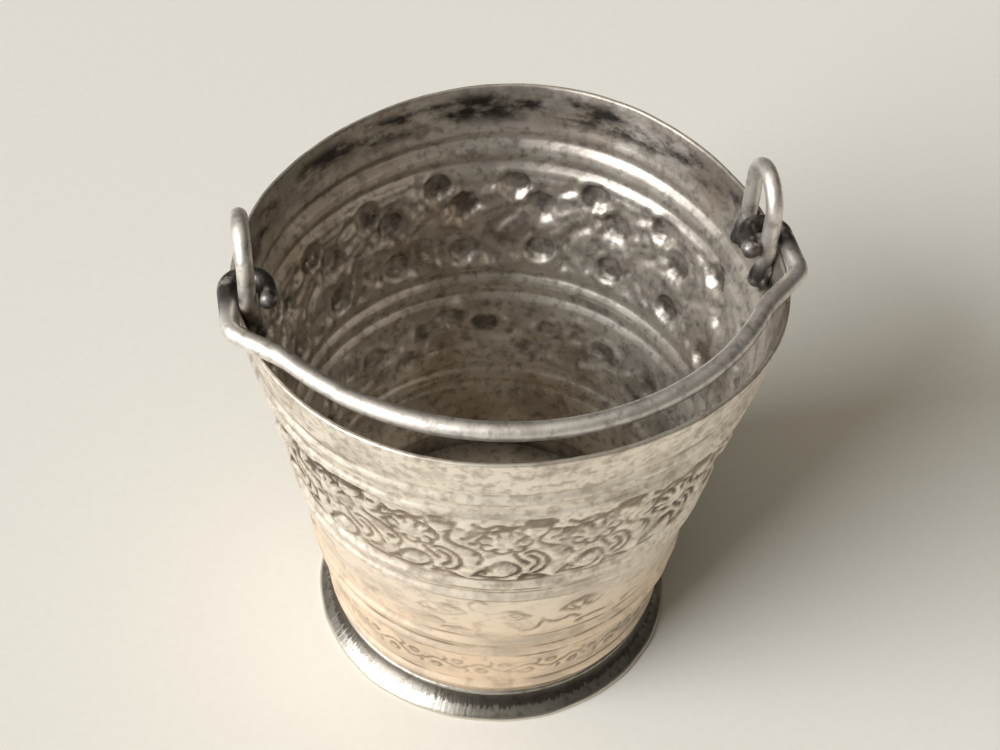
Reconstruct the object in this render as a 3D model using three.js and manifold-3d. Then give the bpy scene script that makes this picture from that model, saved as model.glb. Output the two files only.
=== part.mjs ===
import * as THREE from "three";
import Module from "manifold-3d";
import { mergeVertices } from "three/addons/utils/BufferGeometryUtils.js";

// A small silver cream pail with a swing bail, in millimetres, +Z up.
// The origin is on the table, under the pail's axis. The bail swings about a line along X,
// and it rests folded down over the front of the rim, at -Y.

// Wall: sheet silver rolled into a cone, with pairs of chased ribs between plain and flowered bands
const rimRadius = 30;
const rimHeight = 56.4;
const wallSheet = 0.6;
const wallHollow = 0.4; // how far the side draws in, halfway up
const ribRise = 0.45;
const ribWidth = 1.8;
const ribHeightShares = [0.034, 0.198, 0.25, 0.463, 0.516, 0.81, 0.869]; // of the wall's own height

// Bosses: studs punched out of the upper flowered band from inside, a group of them to each flower
const flowerCount = 17;
const flowerTurn = THREE.MathUtils.degToRad(5.3); // the first flower's bearing, from +X
const bossRise = 0.6;
const bossRadius = 1.5;
const bossTurnShares = [0, 0, 1 / 3]; // of the turn from one flower to the next
const bossHeightShares = [0.706, 0.585, 0.764]; // of the wall's own height

// Floor: a flat plate soldered under the wall
const floorSheet = 0.7;
const floorLip = 0.2; // its edge past the wall

// Foot: a hollowed ring soldered under the floor
const footRadius = 22.3;
const footSpread = 1.9; // its edge past the foot of the wall
const footDraw = 0.4; // how far its neck is drawn in under the wall
const footHollow = 0.35; // how far its side draws in, halfway down
const footHeight = 3.2;
const footSheet = 0.6;
const footEdge = 0.5; // its upright outer edge
const footFlange = 1.4; // its level seat under the floor, inwards from the neck

// Ears: wire loops whose legs are soldered to the inside of the plain band
const earWire = 1.7;
const earRise = 8.45; // from the rim to the middle of the wire at the top
const earSpan = 7; // between the middles of the legs
const earTail = 4.5; // of leg below the rim
const earSolder = 0.2; // between leg and wall

// Bail: one round wire, bowed, with its ends hooked through the ears from outside
const bailWire = 2;
const bailReach = 26.25; // from its axis to the middle of the bow
const bowRadius = 30.1;
const bowTurn = THREE.MathUtils.degToRad(36); // the bow's slope where its round ends, towards the hook
const bailLift = 0.25; // over the rim, where it lies folded down
const hookSlack = 0.25; // between the hook and the ear's wire in it
const hookTurn = THREE.MathUtils.degToRad(45); // the wire's turn from the hook's long outer arm to the bow
const hookTip = 4.8; // of the short inner arm, from the axis to the wire's own end

// Fineness of the round forms
const roundSteps = 48;
const flowerSteps = 3; // facets of the wall to a flower, so that each boss stands on one facet
const ribSteps = 4;
const bossSides = 8;
const edgeSteps = 4;
const flareSteps = 4;
const wireSides = 5;
const earSteps = 32;
const bailSteps = 128;

const silver = (colour, roughness) =>
  new THREE.MeshStandardMaterial({ color: colour, roughness, metalness: 1 });

const group = new THREE.Group();

function add(name, geometry, material) {
  const mesh = new THREE.Mesh(geometry, material);
  mesh.name = name;
  group.add(mesh);
}

// Turns a closed outline of radius and height round the pail's axis.
function turned(outline, steps = roundSteps) {
  const closed = [...outline, outline[0]].map(([radius, height]) => new THREE.Vector2(radius, height));
  return new THREE.LatheGeometry(closed, steps).rotateX(Math.PI / 2);
}

const wasm = await Module();
wasm.setup();

// Solids are for cuts and joins: a solid from a closed geometry, and a geometry from a solid.
function solidFrom(geometry) {
  geometry.deleteAttribute("normal");
  geometry.deleteAttribute("uv");
  const { index, attributes } = mergeVertices(geometry);
  const corners = [];
  for (let i = 0; i < index.count; i += 3) {
    const face = [index.getX(i), index.getX(i + 1), index.getX(i + 2)];
    if (new Set(face).size === face.length) corners.push(...face);
  }
  const mesh = { numProp: 3, vertProperties: attributes.position.array, triVerts: new Uint32Array(corners) };
  return new wasm.Manifold(new wasm.Mesh(mesh));
}

function geometryFrom(solid) {
  const { vertProperties, triVerts } = solid.getMesh();
  const geometry = new THREE.BufferGeometry();
  geometry.setAttribute("position", new THREE.BufferAttribute(vertProperties, 3));
  geometry.setIndex(new THREE.BufferAttribute(triVerts, 1));
  geometry.computeVertexNormals();
  return geometry;
}

// A flat path laid in space by a function of its two coordinates.
class LaidCurve extends THREE.Curve {
  constructor(path, lay) {
    super();
    this.path = path;
    this.lay = lay;
  }

  getPoint(share, target = new THREE.Vector3()) {
    const { x, y } = this.path.getPointAt(share);
    return target.copy(this.lay(x, y));
  }
}

function wire(path, lay, diameter, steps) {
  const section = new THREE.Shape().absarc(0, 0, diameter / 2, 0, 2 * Math.PI);
  return new THREE.ExtrudeGeometry(section, {
    steps,
    curveSegments: wireSides,
    extrudePath: new LaidCurve(path, lay),
  });
}

// Wall

const wallFootRadius = footRadius - footSpread;
const floorTop = footHeight + floorSheet;
const wallHeight = rimHeight - floorTop;

// The wall's outer radius without its ribs: a cone whose side is drawn in a little.
function coneRadius(height) {
  const share = (height - floorTop) / wallHeight;
  const straight = THREE.MathUtils.lerp(wallFootRadius, rimRadius, share);
  return straight - 4 * wallHollow * share * (1 - share);
}

const ribHeights = ribHeightShares.map((share) => floorTop + share * wallHeight);

function ribbedRadius(height) {
  let radius = coneRadius(height);
  for (const rib of ribHeights) {
    const off = Math.abs(height - rib) / (ribWidth / 2);
    if (off < 1) radius += (ribRise * (1 + Math.cos(Math.PI * off))) / 2;
  }
  return radius;
}

// The heights of the wall's outline points, from the floor to the rim's rounded edge.
function wallHeights(stepsOnRib) {
  const heights = [floorTop];
  for (const rib of ribHeights) {
    for (let i = 0; i <= stepsOnRib; i++) heights.push(rib + ribWidth * (i / stepsOnRib - 1 / 2));
  }
  return [...heights, rimHeight - wallSheet / 2];
}

// One boss as a low cone, its axis along +X from the sheet's face at the origin, and its root in the sheet.
function bossGeometry() {
  const height = bossRise + wallSheet / 2;
  const cone = new THREE.ConeGeometry((bossRadius * height) / bossRise, height, bossSides);
  return cone.translate(0, bossRise - height / 2, 0).rotateZ(-Math.PI / 2);
}

// Each boss is joined to the sheet outside, and the same form is cut from it inside.
function bossedWall(wall) {
  let bossed = solidFrom(wall);
  const slope = Math.atan((rimRadius - wallFootRadius) / wallHeight);
  for (let flower = 0; flower < flowerCount; flower++) {
    bossTurnShares.forEach((turnShare, i) => {
      const height = floorTop + bossHeightShares[i] * wallHeight;
      const bearing = flowerTurn + (2 * Math.PI * (flower + turnShare)) / flowerCount;
      const boss = (radius) =>
        solidFrom(bossGeometry().rotateY(slope).translate(radius, 0, height).rotateZ(bearing));
      bossed = bossed.add(boss(coneRadius(height))).subtract(boss(coneRadius(height) - wallSheet));
    });
  }
  return geometryFrom(bossed);
}

// The sheet keeps its thickness, so each rib and boss outside is a hollow inside.
function wallGeometry() {
  const outside = wallHeights(ribSteps).map((height) => [ribbedRadius(height), height]);
  const inside = wallHeights(ribSteps / 2).map((height) => [ribbedRadius(height) - wallSheet, height]);
  const [top, shoulder] = outside[outside.length - 1];
  const edge = [];
  for (let i = 1; i < edgeSteps; i++) {
    const angle = (Math.PI * i) / edgeSteps;
    const out = (wallSheet / 2) * (Math.cos(angle) - 1);
    edge.push([top + out, shoulder + (wallSheet / 2) * Math.sin(angle)]);
  }
  const steps = flowerCount * flowerSteps;
  const facet = (2 * Math.PI) / steps;
  return turned([...outside, ...edge, ...inside.reverse()], steps).rotateZ(flowerTurn + (Math.PI - facet) / 2);
}

add("pail_wall", bossedWall(wallGeometry()), silver(0xd3c6b2, 0.34));

// Floor and foot

const footNeckRadius = wallFootRadius - footDraw;

function floorGeometry() {
  const radius = wallFootRadius + floorLip;
  const middle = footHeight + floorSheet / 2;
  const edge = [];
  for (let i = 0; i <= edgeSteps; i++) {
    const angle = Math.PI * (i / edgeSteps - 1 / 2);
    const out = (floorSheet / 2) * Math.cos(angle);
    edge.push(new THREE.Vector2(radius - floorSheet / 2 + out, middle + (floorSheet / 2) * Math.sin(angle)));
  }
  const outline = [new THREE.Vector2(0, footHeight), ...edge, new THREE.Vector2(0, floorTop)];
  return new THREE.LatheGeometry(outline, roundSteps).rotateX(Math.PI / 2);
}

add("floor_plate", floorGeometry(), silver(0x857b6e, 0.4));

// The foot's outer radius: a slightly hollow flare from its neck down to its upright edge.
function flareRadius(height) {
  const share = Math.min(1, (footHeight - height) / (footHeight - footEdge));
  return THREE.MathUtils.lerp(footNeckRadius, footRadius, share) - 4 * footHollow * share * (1 - share);
}

function footGeometry() {
  const flare = footRadius - footNeckRadius;
  const wall = (footSheet * Math.hypot(flare, footHeight - footEdge)) / (footHeight - footEdge);
  const underSeat = footHeight - footSheet;
  const outside = [[footRadius, 0]];
  const inside = [[footRadius - wall, 0]];
  for (let i = 0; i <= flareSteps; i++) {
    const height = footEdge + ((footHeight - footEdge) * i) / flareSteps;
    outside.push([flareRadius(height), height]);
    const under = (underSeat * (i + 1)) / (flareSteps + 1);
    inside.push([flareRadius(under) - wall, under]);
  }
  const seat = footNeckRadius - footFlange;
  return turned([...outside, [seat, footHeight], [seat, underSeat], ...inside.reverse()]);
}

add("foot_ring", footGeometry(), silver(0x8b8478, 0.3));

// Ears

// Where a leg's middle lies off the pail's middle plane, so that it rests against the wall inside.
function legInset(height) {
  const reach = coneRadius(height) - wallSheet - earSolder - earWire / 2;
  return Math.sqrt(reach ** 2 - (earSpan / 2) ** 2);
}

const earPlane = legInset(rimHeight);

function earPath() {
  const half = earSpan / 2;
  const spring = rimHeight + earRise - half;
  return new THREE.Path()
    .moveTo(-half, rimHeight - earTail)
    .lineTo(-half, spring)
    .absarc(0, spring, half, Math.PI, 0, true)
    .lineTo(half, rimHeight - earTail);
}

// side is 1 on the right and -1 on the left.
function earGeometry(side) {
  const lay = (across, height) =>
    new THREE.Vector3(side * legInset(Math.min(height, rimHeight)), side * across, height);
  return wire(earPath(), lay, earWire, earSteps);
}

add("ear_left", earGeometry(-1), silver(0xb5ada0, 0.24));
add("ear_right", earGeometry(1), silver(0xb5ada0, 0.24));

// Bail

const axisHeight = rimHeight + bailLift + bailWire / 2;

// The bail's flat path: x along its axis, y out towards the bow, one half mirrored to the other.
// Each hook bends round the axis. Its outer arm is long, so that the wire crosses back over the ear
// only beyond the top of the ear, however far the bail is swung.
function bailPath() {
  const bend = (bailWire + earWire) / 2 + hookSlack;
  const far = rimHeight + earRise - axisHeight;
  const slant = new THREE.Vector2(Math.sin(hookTurn), Math.cos(hookTurn));
  const slope = new THREE.Vector2(Math.sin(bowTurn), Math.cos(bowTurn));
  const throat = new THREE.Vector2(earPlane + bend * slant.y, far + bend * slant.x);
  const centre = bailReach - bowRadius;
  const shoulder = new THREE.Vector2(bowRadius * slope.y, centre + bowRadius * slope.x);
  const ease = throat.distanceTo(shoulder) / 3;
  const [throatX, throatY] = [throat.x - ease * slant.x, throat.y + ease * slant.y];
  const [shoulderX, shoulderY] = [shoulder.x + ease * slope.x, shoulder.y - ease * slope.y];
  const path = new THREE.Path();
  path.moveTo(-earPlane + bend, hookTip);
  path.lineTo(-earPlane + bend, bend);
  path.absarc(-earPlane, bend, bend, 0, Math.PI, true);
  path.lineTo(-earPlane - bend, far);
  path.absarc(-earPlane, far, bend, Math.PI, Math.PI - hookTurn, true);
  path.bezierCurveTo(-throatX, throatY, -shoulderX, shoulderY, -shoulder.x, shoulder.y);
  path.absarc(0, centre, bowRadius, Math.PI - bowTurn, bowTurn, true);
  path.bezierCurveTo(shoulderX, shoulderY, throatX, throatY, throat.x, throat.y);
  path.absarc(earPlane, far, bend, hookTurn, 0, true);
  path.lineTo(earPlane + bend, bend);
  path.absarc(earPlane, bend, bend, 0, Math.PI, true);
  path.lineTo(earPlane - bend, hookTip);
  return path;
}

function bailGeometry() {
  const lay = (along, out) => new THREE.Vector3(along, -out, axisHeight);
  return wire(bailPath(), lay, bailWire, bailSteps);
}

add("bail", bailGeometry(), silver(0xa8a196, 0.3));

export default group;
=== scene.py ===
import math

import bmesh
import bpy
from mathutils import Matrix, Vector


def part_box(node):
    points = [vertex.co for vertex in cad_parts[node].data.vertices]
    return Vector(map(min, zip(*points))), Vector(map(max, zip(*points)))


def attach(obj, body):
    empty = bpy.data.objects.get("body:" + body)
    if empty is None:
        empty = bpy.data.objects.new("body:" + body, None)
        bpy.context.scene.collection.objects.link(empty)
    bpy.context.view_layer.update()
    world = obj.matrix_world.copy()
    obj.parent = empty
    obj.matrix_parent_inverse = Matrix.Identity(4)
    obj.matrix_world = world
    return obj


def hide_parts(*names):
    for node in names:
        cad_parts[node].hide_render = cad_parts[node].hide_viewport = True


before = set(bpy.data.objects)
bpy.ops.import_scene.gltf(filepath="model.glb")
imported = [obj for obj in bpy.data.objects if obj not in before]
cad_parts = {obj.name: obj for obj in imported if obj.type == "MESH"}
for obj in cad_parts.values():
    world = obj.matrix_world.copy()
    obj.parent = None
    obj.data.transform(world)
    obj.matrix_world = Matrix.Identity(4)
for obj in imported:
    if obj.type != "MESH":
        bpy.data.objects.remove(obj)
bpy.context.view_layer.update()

MM = 0.001

# Sizes that the frame gives
WALL_LOW, WALL_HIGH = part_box("pail_wall")
FLOOR_LOW, FLOOR_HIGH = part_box("floor_plate")
BAIL_LOW, BAIL_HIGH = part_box("bail")
FOOT_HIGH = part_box("foot_ring")[1]
EAR_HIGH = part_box("ear_right")[1]
RIM_HEIGHT = WALL_HIGH.z
FOOT_RADIUS = FOOT_HIGH.x
FOOT_TOP = FOOT_HIGH.z
WALL_FOOT = WALL_LOW.z
FLOOR_RADIUS = FLOOR_HIGH.x

# Wall: sheet silver, ribbed and chased
RIM_RADIUS = 30 * MM
SHEET = 0.6 * MM
WALL_HOLLOW = 0.4 * MM
WALL_FOOT_RADIUS = FOOT_RADIUS - 1.9 * MM
RIB_RISE = 0.45 * MM
RIB_WIDTH = 1.8 * MM
RIB_SHARES = (0.034, 0.198, 0.25, 0.463, 0.516, 0.81, 0.869)
RIB_HEIGHTS = [WALL_FOOT + share * (RIM_HEIGHT - WALL_FOOT) for share in RIB_SHARES]
WALL_JOIN = (RIB_HEIGHTS[3] + RIB_HEIGHTS[4]) / 2

# The line chased along each foot of a rib: its depth, and where it starts and ends as shares of half a rib
RIB_LINE = 0.11 * MM
LINE_START_SHARE = 0.82
LINE_END_SHARE = 1.54

# How far the hand-made rim is out of round: number of lobes, size, and where one of them points in degrees
RIM_LOBES = ((1, 0.54 * MM, 2), (2, 0.45 * MM, 49), (3, 0.5 * MM, 80), (4, 0.28 * MM, 63))

# The ears hold the rim: what is left of its unevenness there, and how far off they are felt, in radii
HELD_SHARE = 0.35
HELD_REACH_SHARE = 0.35

# The chased bands, between the ribs
BAND_EDGES = {"third": (0, 1), "second": (2, 3), "main": (4, 5)}
BANDS = {
    name: (RIB_HEIGHTS[low] + RIB_WIDTH / 2, RIB_HEIGHTS[high] - RIB_WIDTH / 2)
    for name, (low, high) in BAND_EDGES.items()
}

# How many times each band's drawing goes round the pail, and the bearing of one of them
REPEATS = {
    "main": (17, math.radians(5.3)),
    "second": (9, math.radians(-84)),
    "third": (24, math.radians(-86)),
}

# The wall's mesh: columns round it, and the step from row to row in each place, outside and inside
WALL_COLUMNS = 560
RIB_STEPS = (0.36 * MM, 0.5 * MM)
BAND_STEPS = {
    "main": (0.3 * MM, 0.36 * MM),
    "second": (0.42 * MM, 0.42 * MM),
    "third": (0.36 * MM, 0.9 * MM),
}
PLAIN_STEP = 0.6 * MM
BESIDE_JOIN = 0.03 * MM
EDGE_STEPS = 6
# How far from a rib's middle its close rows go, in widths of it, and the longest last step, in steps
RIB_REACH_SHARE = 0.85
LAST_STEP_SHARE = 1.4

# Foot
FOOT_NECK = WALL_FOOT_RADIUS - 0.4 * MM
FOOT_SHEET = 0.6 * MM
FOOT_EDGE = 0.5 * MM
FOOT_FLANGE = 1.4 * MM
FOOT_HOLLOW = 0.35 * MM
FLARE_STEPS = 14
FOOT_COLUMNS = 288

# The foot's outer edge: how far it is eased, and how much of that is left at its lower and its upper corner
FOOT_EASE = 0.18 * MM
LOWER_CORNER_SHARE = 0.3
UPPER_CORNER_SHARES = (0.4, 0.1)

# The foot's waviness: its size, and each wave's number round the foot, share of the size and start
FOOT_WAVE = 0.16 * MM
FOOT_WAVES = ((3, 0.4, 3.91), (7, 0.25, 6.21), (13, 0.2, 8.51), (24, 0.15, 10.81))

# Floor: columns round it, steps round its edge, its rings, how deeply it is dished, and its ripples
FLOOR_COLUMNS = 192
FLOOR_EDGE_STEPS = 6
FLOOR_RING_SHARES = (0.97, 0.93, 0.85, 0.75, 0.65, 0.55, 0.45, 0.35, 0.25, 0.15, 0.07, 0)
FLOOR_DISH = 0.12 * MM
FLOOR_RIPPLES = 2.6 / MM

# Ears
EAR_WIRE = 1.7 * MM
EAR_SPAN = 7 * MM
EAR_TAIL = 4.5 * MM
EAR_RISE = EAR_HIGH.z - EAR_WIRE / 2 - RIM_HEIGHT
EAR_GAP = 0.2 * MM
EAR_STEP = 0.25 * MM
LEG_STEPS = 30
LOOP_STEPS = 40

# The solder at the ears' feet: each mound's height above the wire's end, and half its width and height
SOLDER_MOUNDS = ((0.5 * MM, 1.5 * MM, 1.5 * MM), (1.8 * MM, 1.15 * MM, 1.6 * MM))
SOLDER_DEPTH = 0.75 * MM
SOLDER_INSET = 0.35 * MM
# Melting ears and solder into one takes a little off, so the wire starts thicker by this share
EAR_SWELL_SHARE = 1.1
MELT_GRAIN = 0.11 * MM

# Bail
BAIL_WIRE = 2 * MM
BAIL_AXIS = (BAIL_LOW.z + BAIL_HIGH.z) / 2
BAIL_REACH = -BAIL_LOW.y - BAIL_WIRE / 2
BAIL_STEP = 0.3 * MM
BOW_RADIUS = 30.1 * MM
BOW_TURN = math.radians(36)
HOOK_BEND = (BAIL_WIRE + EAR_WIRE) / 2 + 0.25 * MM
HOOK_TURN = math.radians(45)
HOOK_TIP = 4.8 * MM

# Drawn wire: sides of its section, its unevenness and how often that comes in a metre, how far its ends are
# rounded, in radii, and how much of its section is left at the very end
WIRE_SIDES = 28
UNEVEN_SHARE = 0.12
UNEVEN_PER_METRE = 240.0
ROUNDED_SHARE = 0.7
TIP_SHARE = 0.02


def add(tree, kind, inputs=None, out=0, **settings):
    """Adds a node, sets its properties, fills or links its inputs, and returns one of its outputs."""
    made = tree.nodes.new(kind)
    for name, value in settings.items():
        setattr(made, name, value)
    for key, value in (inputs or {}).items():
        if isinstance(value, bpy.types.NodeSocket):
            tree.links.new(value, made.inputs[key])
        else:
            made.inputs[key].default_value = value
    return made.outputs[out] if made.outputs else None


def hex_colour(text):
    """An sRGB hex colour as linear red, green, blue and alpha."""
    values = [int(text[i : i + 2], 16) / 255 for i in (1, 3, 5)]
    return [v / 12.92 if v <= 0.04045 else ((v + 0.055) / 1.055) ** 2.4 for v in values] + [1.0]


def new_object(name, mesh):
    """A new object in the scene."""
    made = bpy.data.objects.new(name, mesh)
    bpy.context.scene.collection.objects.link(made)
    return made


def open_tree(name, inputs, outputs):
    """A node group with named inputs and outputs of given kinds, and the sockets of what it is given."""
    tree = bpy.data.node_groups.new(name, "GeometryNodeTree")
    for in_out, sockets in (("INPUT", inputs), ("OUTPUT", outputs)):
        for socket, kind in sockets.items():
            tree.interface.new_socket(socket, in_out=in_out, socket_type=f"NodeSocket{kind}")
    return tree, tree.nodes.new("NodeGroupInput").outputs


def run_nodes(piece, tree, inputs):
    """Runs a node tree on a piece once, and keeps the result as its plain mesh."""
    modifier = piece.modifiers.new("made by rule", "NODES")
    modifier.node_group = tree
    for item in tree.interface.items_tree:
        if item.in_out == "INPUT" and item.name in inputs:
            modifier[item.identifier] = inputs[item.name]
    return bake(piece)


def bake(piece):
    """Turns a piece and its modifiers into one plain mesh."""
    made = bpy.data.meshes.new_from_object(piece.evaluated_get(bpy.context.evaluated_depsgraph_get()))
    piece.modifiers.clear()
    made.name = piece.name
    piece.data = made
    return piece


# Camera, board and light

# Camera, as in the photo: its angles, its lens in millimetres, and where the pail's foot lies in its view
CAMERA_ELEVATION = math.radians(46.37)
CAMERA_TILT = math.radians(2.71)
CAMERA_BEARING = math.radians(-12.5)
SENSOR_WIDTH = 36
LENS_LENGTH = 64.8
FOOT_IN_VIEW = Vector((-1.05, -26.23, -234.91)) * MM

# Half the side of the board that the pail stands on, in metres
BOARD_HALF = 3.0

# The window: its sizes and distance in metres, its power, and where it stands
WINDOW_WIDTH = 9.2
WINDOW_HEIGHT = 7.6
WINDOW_AWAY = 12.0
WINDOW_POWER = 2380
WINDOW_BEARING = math.radians(199.5)
WINDOW_ELEVATION = math.radians(28)

# The room: where its ceiling is brightest, how fast that fades, and how bright ceiling and walls are
CEILING_TOWARDS = (-0.3, -0.1, 0.95)
CEILING_FALLOFF = 5.0
CEILING_LIGHT = 0.84
WALLS_LIGHT = 0.03


def place_camera():
    """The camera is 236 mm from the pail's foot, looks down on it and is tipped to one side."""
    data = bpy.data.cameras.new("camera")
    data.sensor_width = SENSOR_WIDTH
    data.lens = LENS_LENGTH
    data.clip_start = 0.01
    data.clip_end = 20
    camera = new_object("camera", data)
    turned_by = Matrix.Rotation(CAMERA_BEARING, 3, "Z")
    turned_by = turned_by @ Matrix.Rotation(math.pi / 2 - CAMERA_ELEVATION, 3, "X")
    turned_by = turned_by @ Matrix.Rotation(CAMERA_TILT, 3, "Z")
    camera.matrix_world = Matrix.Translation(-(turned_by @ FOOT_IN_VIEW)) @ turned_by.to_4x4()
    bpy.context.scene.camera = camera


def lay_board(material):
    """A large pale board under the pail."""
    half = BOARD_HALF
    corners = [(-half, -half, 0), (half, -half, 0), (half, half, 0), (-half, half, 0)]
    mesh = bpy.data.meshes.new("board")
    mesh.from_pydata(corners, [], [(0, 1, 2, 3)])
    mesh.materials.append(material)
    new_object("board", mesh)


def hang_window():
    """A large soft window, front left and fairly low."""
    window = bpy.data.lights.new("window", "AREA")
    window.shape = "RECTANGLE"
    window.size = WINDOW_WIDTH
    window.size_y = WINDOW_HEIGHT
    window.energy = WINDOW_POWER
    window.color = hex_colour("#F8FBFF")[:3]
    lamp = new_object("window", window)
    level = math.cos(WINDOW_ELEVATION)
    x = math.cos(WINDOW_BEARING) * level
    y = math.sin(WINDOW_BEARING) * level
    towards = Vector((x, y, math.sin(WINDOW_ELEVATION)))
    facing = towards.to_track_quat("Z", "Y").to_matrix().to_4x4()
    lamp.matrix_world = Matrix.Translation(towards * WINDOW_AWAY) @ facing


def light_the_room():
    """A dim warm room, brightest at the ceiling."""
    world = bpy.data.worlds.new("room")
    world.use_nodes = True
    bpy.context.scene.world = world
    tree = world.node_tree
    tree.nodes.clear()
    view = add(tree, "ShaderNodeTexCoord", out="Generated")
    near = {0: view, 1: CEILING_TOWARDS}
    near = add(tree, "ShaderNodeVectorMath", near, operation="DOT_PRODUCT", out="Value")
    ahead = add(tree, "ShaderNodeMath", {0: near, 1: 0.0}, operation="MAXIMUM")
    soft = add(tree, "ShaderNodeMath", {0: ahead, 1: CEILING_FALLOFF}, operation="POWER")
    lit = add(tree, "ShaderNodeMath", {0: soft, 1: CEILING_LIGHT, 2: WALLS_LIGHT}, operation="MULTIPLY_ADD")
    air = add(tree, "ShaderNodeBackground", {"Color": hex_colour("#FFF6E6"), "Strength": lit})
    add(tree, "ShaderNodeOutputWorld", {"Surface": air})


# Drawings for the chased bands, in millimetres in the unrolled band, x along it and y up it


def ring_part(x, y, radius, start, end, steps=24):
    """Part of a circle, from one angle to another."""
    angles = [start + (end - start) * i / steps for i in range(steps + 1)]
    return [(x + radius * math.cos(a), y + radius * math.sin(a)) for a in angles]


def arc(x, y, radius, start=0, end=360, steps=16, squash=1.0):
    """Part of a circle, from one angle to another in degrees, which may be squashed flat."""
    ring = ring_part(0, 0, radius, math.radians(start), math.radians(end), steps)
    return [(x + across, y + squash * up) for across, up in ring]


def curve_value(before, first, last, after, share):
    """A value between first and last, on a curve that heeds the values on either side of them."""
    slope = last - before
    bend = 2 * before - 5 * first + 4 * last - after
    twist = 3 * first - before - 3 * last + after
    return 0.5 * (2 * first + slope * share + bend * share**2 + twist * share**3)


def sweep(*points, steps=8):
    """A smooth line through points."""
    ends = [points[0], *points, points[-1]]
    line = []
    for four in zip(ends, ends[1:], ends[2:], ends[3:]):
        for i in range(steps):
            line.append(tuple(curve_value(*values, i / steps) for values in zip(*four)))
    line.append(points[-1])
    return line


def dots(*places, half=0.1):
    """A very short line at each place."""
    return [[(x - half, y), (x + half, y)] for x, y in places]


# The flower: its middle, petals, width for its height, the ends of the strokes between petals, and how far
# out the arcs at the petals' ends lie, their radius and half their turn in degrees
FLOWER_X = 0.1
FLOWER_Y = 2.2
PETALS = 8
FLOWER_WIDE_SHARE = 1.1
STROKE_ENDS = (1.5, 2.5)
PETAL_END_AWAY = 2.15
PETAL_END_SIZE = 0.72
PETAL_END_HALF = 65

# The beads in its petals: how far out they lie, across and up
BEADS_ACROSS = 2.25
BEADS_UP = 2.05


def petal_gaps():
    """The strokes between the flower's petals, and a small arc round each petal's end."""
    lines = []
    for k in range(PETALS):
        gap = math.radians(360 * (k + 0.5) / PETALS)
        across = FLOWER_WIDE_SHARE * math.cos(gap)
        lines.append([(FLOWER_X + across * r, FLOWER_Y + r * math.sin(gap)) for r in STROKE_ENDS])
        middle = 360 * k / PETALS
        x = FLOWER_X + FLOWER_WIDE_SHARE * PETAL_END_AWAY * math.cos(math.radians(middle))
        y = FLOWER_Y + PETAL_END_AWAY * math.sin(math.radians(middle))
        lines.append(arc(x, y, PETAL_END_SIZE, middle - PETAL_END_HALF, middle + PETAL_END_HALF, 6))
    return lines


def petal_beads():
    """The places of the beads, one in each petal."""
    turns = [math.tau * k / PETALS for k in range(PETALS)]
    return [(FLOWER_X + BEADS_ACROSS * math.cos(a), FLOWER_Y + BEADS_UP * math.sin(a)) for a in turns]


MAIN_LINES = [
    *petal_gaps(),
    sweep((-2.9, -6.1), (-1.5, -4.4), (-0.5, -3.0), (0.6, -2.5), (1.8, -2.9), (2.4, -4.1), (2.0, -5.3)),
    sweep((2.0, -5.3), (0.9, -6.0), (-0.8, -6.3), (-2.9, -6.1)),
    sweep((-1.5, -5.3), (-1.4, -3.9), (-0.4, -2.9)),
    arc(3.25, 5.3, 1.4, 140, 225, 8),
    arc(3.25, 5.3, 1.5, -65, 45, 8),
    arc(3.8, 6.5, 1.6, squash=0.22, steps=18),
    sweep((4.6, 4.3), (4.2, 3.2), (4.1, 2.2), (4.9, 1.3), (6.2, 0.8), (7.6, -0.2), (8.3, -1.4), (7.9, -2.7)),
    sweep((2.8, -0.4), (3.7, 0.0), (4.6, -0.6), (5.4, -1.7), (5.9, -3.1), (5.3, -4.6), (4.3, -5.1)),
    sweep((3.4, -1.1), (4.3, -1.9), (4.5, -3.1), (3.8, -4.1)),
    sweep((1.6, -0.7), (2.3, -1.6), (3.2, -2.6)),
    sweep((-3.4, 5.6), (-2.2, 5.0), (-0.8, 5.6), (0.6, 5.3), (1.6, 5.8)),
    sweep((2.8, -6.2), (4.6, -5.9), (6.4, -6.3)),
    sweep((-3.4, 3.2), (-2.7, 3.9), (-1.9, 4.3)),
    sweep((5.6, 2.6), (6.4, 3.2), (6.6, 4.2)),
]
MAIN_PUNCHES = [
    *dots((5.5, 4.7), (6.9, 4.5), (2.4, 3.6), (-2.6, -1.3), half=0.2),
    *dots((3.2, -5.4), (-1.1, 4.1), (1.2, 4.1), (6.8, 1.9), half=0.2),
]
MAIN_BOSSES = dots((0, 2.27), (0, -4.08), (3.25, 5.3), half=0.22)
MAIN_BEADS = [
    *dots(*petal_beads()),
    *dots((4.9, -3.1), (7.3, -5.2), (-3.2, -2.8), (6.3, 5.8), (7.0, 3.3)),
]
MAIN_STEMS = [
    sweep((3.3, 4.0), (3.3, 2.3), (4.1, 0.9), (5.5, 0.1), (6.9, -1.8), (7.1, -4.2), (6.5, -5.6)),
    sweep((2.0, -1.4), (2.9, -3.2), (3.2, -4.6)),
    sweep((-3.0, 4.8), (-1.6, 4.6), (-0.2, 4.9), (1.4, 4.7)),
]

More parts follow.
